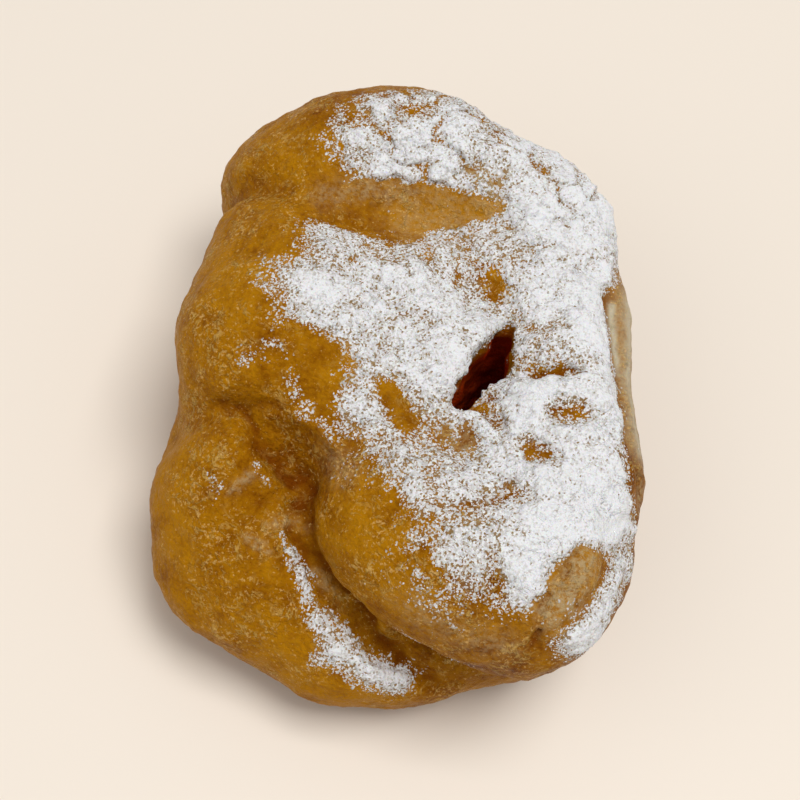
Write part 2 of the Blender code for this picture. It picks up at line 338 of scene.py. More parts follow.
# How brown the skin fried: the mean, mottles as size, amount and seed, and how the sides and the foot differ.
# Places that fried to a lighter gold: width, share, path.
BROWN_MEAN = 0.34
BROWN_MOTTLES = ((15.0, 0.34, 41), (5.0, 0.20, 43))
LEFT_LIGHTER = 0.22
LOW_FRONT_LIGHTER = 0.05
RIGHT_DARKER = 0.30
FOOT_DARKER = 0.25
GOLDEN_PLACES = (
    (5.0, 0.60, ((-6, 28, 47), (8, 31, 48))),
    (6.0, 0.18, ((10, -44, 42), (2, -38, 44))),
    (7.0, 0.30, ((-8, -57, 18), (10, -58, 16))),
    (7.0, 0.20, ((-38, -30, 28), (-30, -42, 26))),
)

# Linear colours of the dough, from gold to dark brown, of what differs from it, of the painted shade in its
# creases and between the sugar's grains, and of the sugar.
GOLD = (0.43, 0.180, 0.003)
AMBER = (0.32, 0.120, 0.002)
BROWN = (0.20, 0.058, 0.001)
DARK_BROWN = (0.10, 0.025, 0.001)
# Painted shade in the creases.
CREASE_SHADE_COLOUR = (0.15, 0.030, 0.001)
STRAND_COLOUR = (0.60, 0.36, 0.09)
SEAM_COLOUR = (0.62, 0.56, 0.40)
PALE_COLOUR = (0.46, 0.315, 0.15)
THROAT_COLOUR = (0.48, 0.020, 0.002)
# Pale flecks on the skin, partly painted glints of light off the oil.
FLECK_AND_GLINT_COLOUR = (0.78, 0.50, 0.18)
# Painted shade between the sugar's grains.
GAP_SHADE_COLOUR = (0.29, 0.21, 0.115)
DUSTY = (0.42, 0.34, 0.25)
# Grey of the sugar: partly the dough seen through thin sugar, partly painted shade for the powder's relief.
GREY_SUGAR = (0.62, 0.59, 0.56)
THICK_SUGAR = (0.86, 0.86, 0.87)
FLOOR_COLOUR = (0.825, 0.738, 0.637)

# Patterns in the materials: size, detail, roughness and, for torn lines, distortion.
SUGAR_FLECKS = (1.8, 3.0, 0.6)
SUGAR_GRAIN = (0.6, 2.0)
GRAIN_TINT = (0.6,)
BROWN_MOTTLE = (4.6, 4.0, 0.58)
BROWN_FINE = (0.8, 3.0, 0.6)
PALE_PATCHES = (1.1, 4.0, 0.68)
TORN_CLUSTERS = (7.0, 3.0)
TORN_LINES = (3.4, 4.0, 0.6, 1.0)
TORN_BREAKS = (2.0, 2.0)
GLINT_SPECKS = (0.7, 3.0, 0.7)
GLOSS_PATCHES = (3.0,)
LEATHER = (1.1, 5.0, 0.62)
DOT_SIZE = 0.34

# How far the patterns swing the sugar's cover and the skin's brown.
FLECK_SWING = 1.0
GRAIN_SWING = 0.8
DOT_SWING = 1.3
MOTTLE_SWING = 1.5
FINE_SWING = 1.0

# Sugar shows from SUGAR_SHOWS on; this stippled cover hides the dough, and the next is pure white.
SUGAR_HIDES = 0.50
SUGAR_WHITE = 1.22

# Depths of the fine relief, in metres, and how the skin takes light.
LEATHER_DEPTH = 0.0009
POWDER_DEPTH = 0.00012
SKIN_SHADING = {
    "Specular IOR Level": 0.07,
    "Specular Tint": (1.0, 0.60, 0.15, 1),
    "Subsurface Weight": 0.10,
    "Subsurface Radius": (1.0, 0.45, 0.1),
    "Subsurface Scale": 0.0012,
}

# The lights: name, place and size in metres, power in watts; the place they aim at; the sky and the floor.
LIGHTS = (
    ("key", (0.34, 0.02, 1.60), 0.8, 18.0),
    ("fill", (-0.90, -0.70, 0.90), 1.3, 4.0),
)
LIT_PLACE = (0, 0, 0.03)
SKY_STRENGTH = 0.40
FLOOR_REACH = 4

# The camera: the place it looks at, how steeply it looks down, its roll, its distance in metres and its lens.
SEEN = (0.8, -1.2, 27.4)
CAMERA_ELEVATION = math.radians(60)
CAMERA_ROLL = math.radians(15)
CAMERA_DISTANCE = 0.26
CAMERA_LENS = 61


def smooth_lower(a, b, blend):
    """The lower of two distances, rounded where they cross; blend may differ from point to point."""
    share = np.clip(0.5 + 0.5 * (b - a) / blend, 0, 1)
    return b * (1 - share) + a * share - blend * share * (1 - share)


def smooth_higher(a, b, blend):
    return -smooth_lower(-a, -b, blend)


def smooth_step(low, high, values):
    """From 0 at low to 1 at high, which may be the lesser, with soft ends."""
    share = np.clip((values - low) / (high - low), 0, 1)
    return share * share * (3 - 2 * share)


def turned(points, centre, angle):
    """Points seen from a centre, in axes turned about Z."""
    local = points - np.array(centre, float)
    c, s = math.cos(angle), math.sin(angle)
    x = c * local[:, 0] + s * local[:, 1]
    y = -s * local[:, 0] + c * local[:, 1]
    return np.column_stack([x, y, local[:, 2]])


def oval_distance(local, radii):
    """About how far outside an oval or an ellipsoid round the origin each point is, negative inside."""
    near = np.sqrt(sum((local[:, i] / r) ** 2 for i, r in enumerate(radii)))
    slope = np.sqrt(sum((local[:, i] / r**2) ** 2 for i, r in enumerate(radii)))
    return near * (near - 1) / np.maximum(slope, 1e-9)


def storey_distance(points, lobes):
    """About how far outside the lobes of one storey, run together, each point is."""
    found = None
    for centre, radii, turn in lobes:
        this = oval_distance(turned(points, centre, math.radians(turn)), radii)
        found = this if found is None else smooth_lower(found, this, LOBE_BLEND)
    return found


def path_distance(points, path):
    """How far each point is from a line of straight runs."""
    path = np.array(path, float)
    nearest = np.linalg.norm(points - path[0], axis=1)
    for start, end in zip(path[:-1], path[1:]):
        run = end - start
        along = np.clip((points - start) @ run / (run @ run), 0, 1)
        here = np.linalg.norm(points - start - along[:, None] * run, axis=1)
        nearest = np.minimum(nearest, here)
    return nearest


def nearness(points, path, width):
    """1 on a path, fading to almost nothing at twice the width from it."""
    return np.exp(-((path_distance(points, path) / width) ** 2))


def fold_depth(points, folds, wander=()):
    """How deep the folds are at each point; a fold reaches three of its widths."""
    depth = np.zeros(len(points))
    for width, deepest, path in folds:
        low, high = np.min(path, axis=0) - 3 * width, np.max(path, axis=0) + 3 * width
        near = np.flatnonzero(((points > low) & (points < high)).all(axis=1))
        depth[near] += deepest * nearness(wandered(points[near], wander), path, width)
    return depth


def mouth_widening(height):
    """How much wider the hole is at a height than at its throat."""
    above = np.maximum(height - MOUTH_TOP + MOUTH_REACH, 0)
    below = np.maximum(MOUTH_FOOT + MOUTH_REACH - height, 0)
    return (above**2 + below**2) / (2 * MOUTH_REACH)


def pinch_distance(points):
    """About how far outside the pinched hole each point is."""
    local = turned(points, (*PINCH_CENTRE, 0), PINCH_TURN)[:, :2]
    wider = mouth_widening(points[:, 2])
    whole = oval_distance(local, (PINCH_LENGTH / 2 + wider, PINCH_WIDTH / 2 + wider))
    near = np.flatnonzero(np.abs(whole) < TEARS_REACH)
    for size, depth, seed in TEARS:
        whole[near] += depth * lattice_noise(points[near], size, seed)
    return whole


def storey_blend(points):
    """How rounded the crease between the storeys is: sharp in front and at the right, soft at the left."""
    soft = smooth_step(-SOFT_FROM, -SOFT_TO, -points[:, 0])
    return SHARP_BLEND + (SOFT_BLEND - SHARP_BLEND) * soft


def plain_distance(points):
    """About how far outside the solid's own dough each point is."""
    base, cap = storey_distance(points, BASE_LOBES), storey_distance(points, CAP_LOBES)
    body = smooth_lower(base, cap, storey_blend(points))
    body += fold_depth(points, BROAD_FOLDS)
    body += sum(height * np.sin(points @ np.array(wave) + start) for height, wave, start in WAVES)
    body = smooth_higher(body, -pinch_distance(points), PINCH_BLEND)
    return smooth_higher(body, -points[:, 2], FOOT_BLEND)


def grid_points(low, counts, step):
    """The points of a grid with a start, a count along each axis and a step."""
    spans = [low[i] + np.arange(counts[i]) * step for i in range(3)]
    return np.stack(np.meshgrid(*spans, indexing="ij"), axis=-1).reshape(-1, 3)


def coarse_search():
    """The plain distance on a coarse grid over the dough: the grid's start and its values."""
    low = np.array(SEARCH_LOW)
    step = NET_STEP * COARSE
    counts = np.ceil((np.array(SEARCH_HIGH) - low) / step).astype(int)
    return low, plain_distance(grid_points(low, counts, step)).reshape(counts)


def drawn_to_part(low, values):
    """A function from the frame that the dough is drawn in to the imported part's, in metres."""
    _, points = net_points(values)
    points = points * NET_STEP * COARSE + low
    drawn_low, drawn_high = points.min(0), points.max(0)
    drawn_low[2] += FOOT_PRESSED
    middle = (drawn_low + drawn_high) / 2
    middle[2] = drawn_low[2]
    part_low, part_high = (np.array(corner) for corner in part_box(NODE))
    scale = (part_high - part_low) / (drawn_high - drawn_low)
    return lambda places: (np.asarray(places, float) - middle) * scale


def finer(values):
    """Values of a coarse grid read off on one that is COARSE times finer."""
    for axis in range(3):
        ahead = np.roll(values, -1, axis)
        layers = [values + (ahead - values) * (k / COARSE) for k in range(COARSE)]
        shape = list(values.shape)
        shape[axis] *= COARSE
        values = np.stack(layers, axis=axis + 1).reshape(shape)
    return values


def fine_search(low, coarse):
    """The full distance on the fine grid, worked out only near the skin."""
    fine = finer(coarse)
    wanted = np.abs(fine) < BAND
    index = np.argwhere(wanted)
    values = np.empty(len(index))
    for part in np.array_split(np.arange(len(index)), SEARCH_PARTS):
        points = low + index[part] * NET_STEP
        values[part] = plain_distance(points) + fold_depth(points, FINE_FOLDS, FOLD_WANDER)
    fine[wanted] = values
    return fine


def corner(values, offset):
    """The value at one corner of every cell; offset says which."""
    ends = [size - 1 for size in values.shape]
    return values[tuple(slice(o, o + end) for o, end in zip(offset, ends))]


def net_points(values):
    """The cells that the skin passes through, and its point in each, in steps from the grid's start."""
    cells = tuple(size - 1 for size in values.shape)
    total = np.zeros((*cells, 3))
    count = np.zeros(cells)
    for axis in range(3):
        step = np.eye(3, dtype=int)[axis]
        for offset in np.ndindex(2, 2, 2):
            if offset[axis]:
                continue
            near, far = corner(values, offset), corner(values, np.array(offset) + step)
            crossed = (near < 0) != (far < 0)
            along = near[crossed] / (near[crossed] - far[crossed])
            total[crossed] += np.array(offset) + along[:, None] * step
            count += crossed
    found = count > 0
    return found, np.argwhere(found) + total[found] / count[found][:, None]


def net_faces(values, found):
    """Four points round every grid edge that the skin crosses, wound to face outward."""
    number = np.full(found.shape, -1)
    number[found] = np.arange(found.sum())
    inside = values < 0
    faces = []
    for axis in range(3):
        near = np.moveaxis(inside, axis, 0)[:-1, 1:-1, 1:-1]
        far = np.moveaxis(inside, axis, 0)[1:, 1:-1, 1:-1]
        cells = np.moveaxis(number, axis, 0)
        ring = np.stack([cells[:, :-1, :-1], cells[:, 1:, :-1], cells[:, 1:, 1:], cells[:, :-1, 1:]], axis=-1)
        if axis == 1:
            ring = ring[..., ::-1]
        faces.append(ring[near & ~far])
        faces.append(ring[far & ~near][:, ::-1])
    return np.concatenate(faces)


def lattice_noise(points, size, seed):
    """Smooth noise from -1 to 1 whose lumps are about as wide as size."""
    places = points / size + seed * 7.31
    cells = np.floor(places).astype(np.int64)
    share = places - cells
    share = share * share * (3 - 2 * share)
    total = np.zeros(len(points))
    for offset in np.ndindex(2, 2, 2):
        x, y, z = (cells + np.array(offset)).T
        mixed = (x * CELL_MIXERS[0]) ^ (y * CELL_MIXERS[1]) ^ (z * CELL_MIXERS[2]) ^ (seed * SEED_MIXER)
        mixed = ((mixed ^ (mixed >> 13)) * LAST_MIXER) & 0xFFFFFFFF
        drawn = ((mixed >> 8) & 0xFFFF) / 32767.5 - 1
        weight = np.prod(np.where(offset, share, 1 - share), axis=1)
        total += drawn * weight
    return total


def layered_noise(points, size, seed):
    """Noise from -1 to 1 with finer lumps on its lumps."""
    total = sum(lattice_noise(points, size / 2**k, seed + k) / 2**k for k in range(NOISE_LAYERS))
    return total / (2 - 2.0 ** (1 - NOISE_LAYERS))


def mixed_noise(points, kinds):
    """Noises of several kinds added up; each kind is a size, an amount and a seed."""
    return sum(amount * layered_noise(points, size, seed) for size, amount, seed in kinds)


def outline_depth(points, outline):
    """How far inside an outline on the plan each point is, negative outside."""
    xy = points[:, :2]
    outline = np.array(outline, float)
    nearest = np.full(len(xy), np.inf)
    inside = np.zeros(len(xy), bool)
    for start, end in zip(outline, np.roll(outline, -1, axis=0)):
        run = end - start
        along = np.clip((xy - start) @ run / (run @ run), 0, 1)
        nearest = np.minimum(nearest, np.linalg.norm(xy - start - along[:, None] * run, axis=1))
        spans = (start[1] > xy[:, 1]) != (end[1] > xy[:, 1])
        rise = run[1] if run[1] else 1e-9
        inside ^= spans & (xy[:, 0] < start[0] + (xy[:, 1] - start[1]) / rise * run[0])
    return np.where(inside, nearest, -nearest)


def wandered(points, wander):
    """Points moved by noise, for uneven edges; wander gives a size, a reach and a seed for each layer."""
    for size, reach, seed in wander:
        moves = [reach * layered_noise(points, size, seed + axis) for axis in range(3)]
        points = points + np.column_stack(moves)
    return points


def sugar_sheet(points, moved, normals):
    """The cover on the top, without the streaks and trails; moved are the points as they stray."""
    right = smooth_step(*EDGE_TURNS, points[:, 0])
    edge = LEFT_EDGE + (RIGHT_EDGE - LEFT_EDGE) * right
    fuller = smooth_step(*FULLNESS_TURNS, points[:, 0])
    fullest = FULLEST_LEFT + (FULLEST_RIGHT - FULLEST_LEFT) * fuller
    cover = COVER_AT_OUTLINE + outline_depth(moved, SUGAR_OUTLINE) / edge
    cover = np.where(points[:, 2] > SHEET_LOWEST, np.clip(cover, NO_SUGAR, fullest), NO_SUGAR)
    cover -= BARED_BY_STRIP * smooth_step(-STRIP_EDGE, STRIP_EDGE, outline_depth(moved, BARE_STRIP))
    for width, depth, path in BARE_SPOTS:
        cover -= depth * nearness(moved, path, width)
    return cover - BARED_BY_STEEPNESS * (1 - smooth_step(*STEEP_AND_LEVEL, normals[:, 2]))


def sugar_cover(points, normals, folds):
    """How much powdered sugar lies at each point: 0 none, a half patchy, 1 and over thick."""
    moved = wandered(points, SUGAR_WANDER)
    cover = sugar_sheet(points, moved, normals)
    for width, height, path in SUGAR_STREAKS:
        cover = np.maximum(cover, height - STREAK_SLOPE * path_distance(moved, path) / width)
    for width, height, path in SUGAR_TRAILS:
        cover = np.maximum(cover, height - TRAIL_SLOPE * (1 - nearness(moved, path, width)))
    cover += mixed_noise(points, SUGAR_PATCHES)
    cracked = np.clip(1 - np.abs(layered_noise(points, CRACK_SPACING, CRACK_SEED)) / CRACK_WIDTH, 0, 1)
    cover -= (CRACK_DEPTH + CRACK_DEEPER * smooth_step(*CRACKS_DEEPEN, points[:, 1])) * cracked
    return cover - BARED_BY_FOLDS * folds


def new_mesh(name, places, faces):
    """A mesh of places and faces; nothing of it lies under the floor."""
    places = np.column_stack([places[:, :2], np.maximum(places[:, 2], 0)])
    mesh = bpy.data.meshes.new(name)
    mesh.vertices.add(len(places))
    mesh.vertices.foreach_set("co", places.astype(np.float32).ravel())
    mesh.loops.add(faces.size)
    mesh.loops.foreach_set("vertex_index", faces.ravel().astype(np.int32))
    mesh.polygons.add(len(faces))
    mesh.polygons.foreach_set("loop_start", np.arange(len(faces), dtype=np.int32) * faces.shape[1])
    mesh.update(calc_edges=True)
    mesh.validate()
    mesh.shade_smooth()
    return mesh


def new_piece(name, mesh, material):
    """An object with the mesh and the material, on the part's body."""
    piece = bpy.data.objects.new(name, mesh)
    bpy.context.scene.collection.objects.link(piece)
    mesh.materials.append(material)
    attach(piece, BODY)
    return piece


def set_attribute(mesh, name, values):
    attribute = mesh.attributes.new(name, "FLOAT", "POINT")
    attribute.data.foreach_set("value", values.astype(np.float32))


def summed(index, values, count):
    """Rows of values added up at each index."""
    return np.column_stack([np.bincount(index, values[:, axis], count) for axis in range(values.shape[1])])


def across_faces(points, faces):
    """A vector that points straight out of each four-sided face and is twice as long as its area."""
    corners = points[faces]
    return np.cross(corners[:, 2] - corners[:, 0], corners[:, 3] - corners[:, 1])


def point_normals(points, faces):
    across = across_faces(points, faces)
    normals = summed(faces.ravel(), np.repeat(across, 4, axis=0), len(points))
    return normals / np.maximum(np.linalg.norm(normals, axis=1), 1e-12)[:, None]


def relaxed(points, faces, rounds):
    """Points drawn half way to the mean of their neighbours, round after round."""
    here = np.concatenate([faces.ravel(), faces.ravel()])
    there = np.concatenate([np.roll(faces, 1, axis=1).ravel(), np.roll(faces, -1, axis=1).ravel()])
    count = np.bincount(here, minlength=len(points))[:, None]
    for _ in range(rounds):
        points = points + 0.5 * (summed(here, points[there], len(points)) / count - points)
    return points


def dough_skin(low, coarse):
    """The skin's points and faces."""
    values = fine_search(low, coarse)
    found, points = net_points(values)
    faces = net_faces(values, found)
    points = relaxed(points * NET_STEP + low, faces, EVENING_ROUNDS)
    normals = point_normals(points, faces)
    for size, height, seed in WRINKLES:
        points = points + normals * (height * layered_noise(points, size, seed))[:, None]
    return points, faces


def hollowness(points, faces, normals, rounds, depth):
    """From 0 on open skin to 1 in a fold, by how far evening out would fill it."""
    fill = ((relaxed(points, faces, rounds) - points) * normals).sum(axis=1)
    return np.clip(fill / depth, 0, 1)


def goldenness(points):
    """How much lighter each point fried than the skin round the golden places."""
    return sum(share * nearness(points, path, width) for width, share, path in GOLDEN_PLACES)


def browning(points, golden):
    """How brown the fried skin is, from 0, gold, to 1, dark brown."""
    x, y, z = points.T
    brown = BROWN_MEAN + mixed_noise(points, BROWN_MOTTLES) - golden
    brown -= LEFT_LIGHTER * smooth_step(22, 38, -x)
    brown -= LOW_FRONT_LIGHTER * smooth_step(-20, -45, y) * smooth_step(34, 26, z)
    brown += RIGHT_DARKER * smooth_step(38, 45, x)
    brown += FOOT_DARKER * smooth_step(10, 2, z)
    return np.clip(brown, 0, 1)


def paleness(points):
    """How pale each point stayed: 0 fried through, 1 and over quite pale."""
    pale = np.zeros(len(points))
    moved = wandered(points, FOLD_WANDER)
    for width, share, path in PALE_PLACES:
        pale = np.maximum(pale, share * nearness(moved, path, width))
    return pale


def add_looks(mesh, points, faces, normals, cover):
    """The attributes that the dusted dough's material reads."""
    folds = SHARP_SHARE * hollowness(points, faces, normals, *SHARP_HOLLOWS)
    folds += hollowness(points, faces, normals, *BROAD_HOLLOWS)
    golden = goldenness(points)
    hole = smooth_step(*HOLE_DEEPENS, points[:, 2]) * nearness(points * (1, 1, 0), HOLE_PLAN, HOLE_WIDTH)
    seam = nearness(points, SEAM, SEAM_WIDTH)
    rim = RIM_SHARE * nearness(wandered(points, SUGAR_WANDER), RIM, RIM_WIDTH)
    set_attribute(mesh, "cover", cover)
    set_attribute(mesh, "brown", browning(points, golden))
    # Painted shade: how much of the crease shade colour each fold takes; it also keeps the torn flakes off
    # the folds.
    set_attribute(mesh, "fold", np.clip(FOLD_SHARE * folds - golden, 0, DARKEST_FOLD))
    set_attribute(mesh, "hole", hole)
    set_attribute(mesh, "seam", np.maximum(seam, rim))
    set_attribute(mesh, "pale", paleness(points))


def add_node(tree, kind, inputs=None, **settings):
    """A shader node; inputs are numbers, colours or other nodes' outputs, by the socket's name or number."""
    node = tree.nodes.new(kind)
    for key, value in settings.items():
        setattr(node, key, value)
    for key, value in (inputs or {}).items():
        if isinstance(value, bpy.types.NodeSocket):
            tree.links.new(value, node.inputs[key])
        else:
            node.inputs[key].default_value = value
    return node


def attribute(tree, name):
    return add_node(tree, "ShaderNodeAttribute", attribute_name=name).outputs["Fac"]


def noise(tree, place, size, detail=2.0, roughness=0.5, distortion=0.0):
    """Noise from 0 to 1 whose lumps are about as wide as size, in millimetres."""
    inputs = {"Vector": place, "Scale": 1 / (size * MM), "Detail": detail, "Roughness": roughness}
    inputs["Distortion"] = distortion
    return add_node(tree, "ShaderNodeTexNoise", inputs).outputs["Fac"]


def cell_values(tree, place, size):
    """A random value from 0 to 1 for each cell of a pattern of cells about as wide as size."""
    node = add_node(tree, "ShaderNodeTexVoronoi", {"Vector": place, "Scale": 1 / (size * MM)})
    return node.outputs["Color"]


def calc(tree, operation, *values):
    """The output of one sum; each value is a number or a node's output."""
    return add_node(tree, "ShaderNodeMath", dict(enumerate(values)), operation=operation).outputs[0]


def spread(tree, value, low, high, to_low=0.0, to_high=1.0):
    """Bring a value from one span to another, and keep it there."""
    inputs = {"Value": value, "From Min": low, "From Max": high, "To Min": to_low, "To Max": to_high}
    return add_node(tree, "ShaderNodeMapRange", inputs).outputs["Result"]


def stirred(tree, value, pattern, swing):
    """A value that a pattern from 0 to 1 moves up and down, by half the swing each way."""
    return calc(tree, "MULTIPLY_ADD", calc(tree, "SUBTRACT", pattern, 0.5), swing, value)


def blend_colour(tree, share, first, second):
    """A mix of two colours, each a linear colour or a node's output."""
    node = add_node(tree, "ShaderNodeMix", data_type="RGBA")
    for key, value in ((0, share), (6, first), (7, second)):
        if isinstance(value, bpy.types.NodeSocket):
            tree.links.new(value, node.inputs[key])
        else:
            node.inputs[key].default_value = (*value, 1)
    return node.outputs[2]


def colour_ramp(tree, value, stops):
    """A colour for a value; each stop is a value and the colour there."""
    ramp = add_node(tree, "ShaderNodeValToRGB", {"Fac": value})
    elements = ramp.color_ramp.elements
    while len(elements) < len(stops):
        elements.new(1.0)
    for element, (place, colour) in zip(elements, stops):
        element.position = place
        element.color = (*colour, 1)
    return ramp.outputs["Color"]


def flakes(tree, place, clusters):
    """Thin raised lines of torn skin, from 0 to 1, where the clusters are."""
    ridges = calc(tree, "ABSOLUTE", calc(tree, "SUBTRACT", noise(tree, place, *TORN_LINES), 0.5))
    line = spread(tree, ridges, 0.010, 0.045, 1.0, 0.0)
    broken = spread(tree, noise(tree, place, *TORN_BREAKS), 0.45, 0.55)
    return calc(tree, "MULTIPLY", calc(tree, "MULTIPLY", line, broken), clusters)


def glints(tree, place, clusters):
    """Small pale flecks, from 0 to 1, more of them where the clusters are; they are partly painted glints of
    light off the oily skin.
    """
    limit = spread(tree, clusters, 0.0, 1.0, 0.63, 0.54)
    return spread(tree, calc(tree, "SUBTRACT", noise(tree, place, *GLINT_SPECKS), limit), 0.0, 0.08)


def dough_colour(tree, place, torn, flecks_and_glints):
    """Fried skin: gold to brown in mottles, painted shade in the folds, torn pale flakes, pale flecks that
    are partly painted glints, and what the attributes mark.
    """
    brown = stirred(tree, attribute(tree, "brown"), noise(tree, place, *BROWN_MOTTLE), MOTTLE_SWING)
    brown = stirred(tree, brown, noise(tree, place, *BROWN_FINE), FINE_SWING)
    colour = colour_ramp(tree, brown, ((0.0, GOLD), (0.40, AMBER), (0.74, BROWN), (1.0, DARK_BROWN)))
    # Painted shade in the folds.
    colour = blend_colour(tree, attribute(tree, "fold"), colour, CREASE_SHADE_COLOUR)
    colour = blend_colour(tree, calc(tree, "MULTIPLY", torn, 0.75), colour, STRAND_COLOUR)
    patchy = spread(tree, noise(tree, place, *PALE_PATCHES), 0.40, 0.62, 0.10, 1.0)
    pale = calc(tree, "MULTIPLY", attribute(tree, "pale"), patchy)
    colour = blend_colour(tree, pale, colour, PALE_COLOUR)
    colour = blend_colour(tree, attribute(tree, "seam"), colour, SEAM_COLOUR)
    # Pale flecks, partly painted glints of light off the oil.
    colour = blend_colour(tree, calc(tree, "MULTIPLY", flecks_and_glints, 0.5), colour, FLECK_AND_GLINT_COLOUR)
    return blend_colour(tree, attribute(tree, "hole"), colour, THROAT_COLOUR)


def skin_and_torn(tree, place):
    """The dough's colour and the torn flakes on it, which come in clusters and leave the folds smooth."""
    clusters = spread(tree, noise(tree, place, *TORN_CLUSTERS), 0.40, 0.60)
    open_skin = calc(tree, "SUBTRACT", 1.0, attribute(tree, "fold"))
    rough_skin = calc(tree, "MULTIPLY", clusters, open_skin)
    torn = flakes(tree, place, rough_skin)
    return dough_colour(tree, place, torn, glints(tree, place, rough_skin)), torn


def dusted_colour(tree, dough, sugar, stipple):
    """The dough's colour with painted shade between the grains, and over it the sugar's, whiter where it is
    thicker; its greys are partly painted shade.
    """
    depth = spread(tree, stipple, SUGAR_SHOWS, SUGAR_WHITE)
    # Greyer where the stipple is lower: partly thin sugar over the dough, partly painted shade.
    white = colour_ramp(tree, depth, ((0.0, DUSTY), (0.25, GREY_SUGAR), (0.85, THICK_SUGAR)))
    # Painted shade between the sugar's grains, more of it where the cover is thicker.
    shaded = spread(tree, attribute(tree, "cover"), 0.30, 0.80, 0.0, 0.85)
    return blend_colour(tree, sugar, blend_colour(tree, shaded, dough, GAP_SHADE_COLOUR), white)


def dusted_roughness(tree, place, sugar):
    """Oily in patches where the dough shows, and dull where sugar lies."""
    gloss = spread(tree, noise(tree, place, *GLOSS_PATCHES), 0.3, 0.7, 0.32, 0.55)
    return add_node(tree, "ShaderNodeMix", {0: sugar, 2: gloss, 3: 0.95}).outputs[0]


def dusted_relief(tree, place, torn, powder):
    """The leathery skin with its torn flakes, and the powder's grain on top."""
    leather = calc(tree, "MULTIPLY_ADD", torn, 0.25, noise(tree, place, *LEATHER))
    skin = {"Height": leather, "Strength": 1.0, "Distance": LEATHER_DEPTH}
    creased = add_node(tree, "ShaderNodeBump", skin).outputs["Normal"]
    grain = {"Height": powder, "Strength": 0.8, "Distance": POWDER_DEPTH, "Normal": creased}
    return add_node(tree, "ShaderNodeBump", grain).outputs["Normal"]


def dusted_material(name):
    """Fried dough where the attribute "cover" is low, powdered sugar where it is high, stippled between."""
    material = bpy.data.materials.new(name)
    material.use_nodes = True
    tree = material.node_tree
    place = add_node(tree, "ShaderNodeTexCoord").outputs["Object"]
    powder = stirred(tree, attribute(tree, "cover"), noise(tree, place, *SUGAR_FLECKS), FLECK_SWING)
    powder = stirred(tree, powder, noise(tree, place, *SUGAR_GRAIN), GRAIN_SWING)
    stipple = stirred(tree, powder, cell_values(tree, place, DOT_SIZE), DOT_SWING)
    sugar = spread(tree, stipple, SUGAR_SHOWS, SUGAR_HIDES)
    dough, torn = skin_and_torn(tree, place)
    shader = tree.nodes["Principled BSDF"]
    for key, value in SKIN_SHADING.items():
        shader.inputs[key].default_value = value
    tree.links.new(dusted_colour(tree, dough, sugar, stipple), shader.inputs["Base Color"])
    tree.links.new(dusted_roughness(tree, place, sugar), shader.inputs["Roughness"])
    tree.links.new(dusted_relief(tree, place, torn, powder), shader.inputs["Normal"])
    return material


def simple_material(name, colour, roughness):
    """A plain material of one colour."""
    material = bpy.data.materials.new(name)
    material.use_nodes = True
    shader = material.node_tree.nodes["Principled BSDF"]
    shader.inputs["Base Color"].default_value = (*colour, 1)
    shader.inputs["Roughness"].default_value = roughness
    return material


def grain_material():
    """Loose sugar, some of it greyer."""
    material = simple_material("sugar_grain", THICK_SUGAR, 0.9)
    tree = material.node_tree
    place = add_node(tree, "ShaderNodeTexCoord").outputs["Object"]
    colour = blend_colour(tree, noise(tree, place, *GRAIN_TINT), GREY_SUGAR, THICK_SUGAR)
    tree.links.new(colour, tree.nodes["Principled BSDF"].inputs["Base Color"])
    return material


def add_dough(points, faces, to_part):
    """The dough's skin, which stands in for the solid; gives back the sugar's cover on it."""
    mesh = new_mesh("dough", to_part(points), faces)
    normals = point_normals(points, faces)
    cover = sugar_cover(points, normals, hollowness(points, faces, normals, *HOLLOWS_UNDER_SUGAR))
    add_looks(mesh, points, faces, normals, cover)
    piece = new_piece("dough", mesh, dusted_material("fried_dough"))
    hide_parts(NODE)
    return cover


def subdivided(points, faces):
    """The same sheet, smoothed, with four faces for each one."""
    obj = bpy.data.objects.new("sheet", new_mesh("sheet", points, faces))
    bpy.context.scene.collection.objects.link(obj)
    modifier = obj.modifiers.new("finer", "SUBSURF")
    modifier.levels = modifier.render_levels = 1
    mesh = bpy.data.meshes.new_from_object(obj.evaluated_get(bpy.context.evaluated_depsgraph_get()))
    bpy.data.objects.remove(obj)
    fine = np.empty(len(mesh.vertices) * 3)
    mesh.vertices.foreach_get("co", fine)
    corners = np.empty(len(mesh.loops), np.int32)
    mesh.loops.foreach_get("vertex_index", corners)
    return fine.reshape(-1, 3), corners.reshape(-1, 4)


def add_sugar(points, faces, cover, to_part):
    """The layer of powdered sugar, which rises out of the skin where the cover is thick enough."""
    kept = faces[cover[faces].max(axis=1) > SUGAR_FROM]
    used, numbers = np.unique(kept, return_inverse=True)
    points, faces = subdivided(points[used], numbers.reshape(-1, 4))
    normals = point_normals(points, faces)
    cover = sugar_cover(points, normals, hollowness(points, faces, normals, *HOLLOWS_IN_SUGAR))
    thick = SUGAR_THICK * smooth_step(*THICKENS, cover) - SUGAR_START
    thick += mixed_noise(points, CLUMPS) * smooth_step(*CLUMPS_GROW, cover)
    thick = np.where(cover < SUGAR_SHOWS, -SUGAR_SUNK, np.maximum(thick, -SUGAR_SUNK))
    points = points + normals * thick[:, None]
    mesh = new_mesh("sugar", to_part(points), faces)
    add_looks(mesh, points, faces, normals, cover)
    new_piece("sugar", mesh, dusted_material("powdered_sugar"))


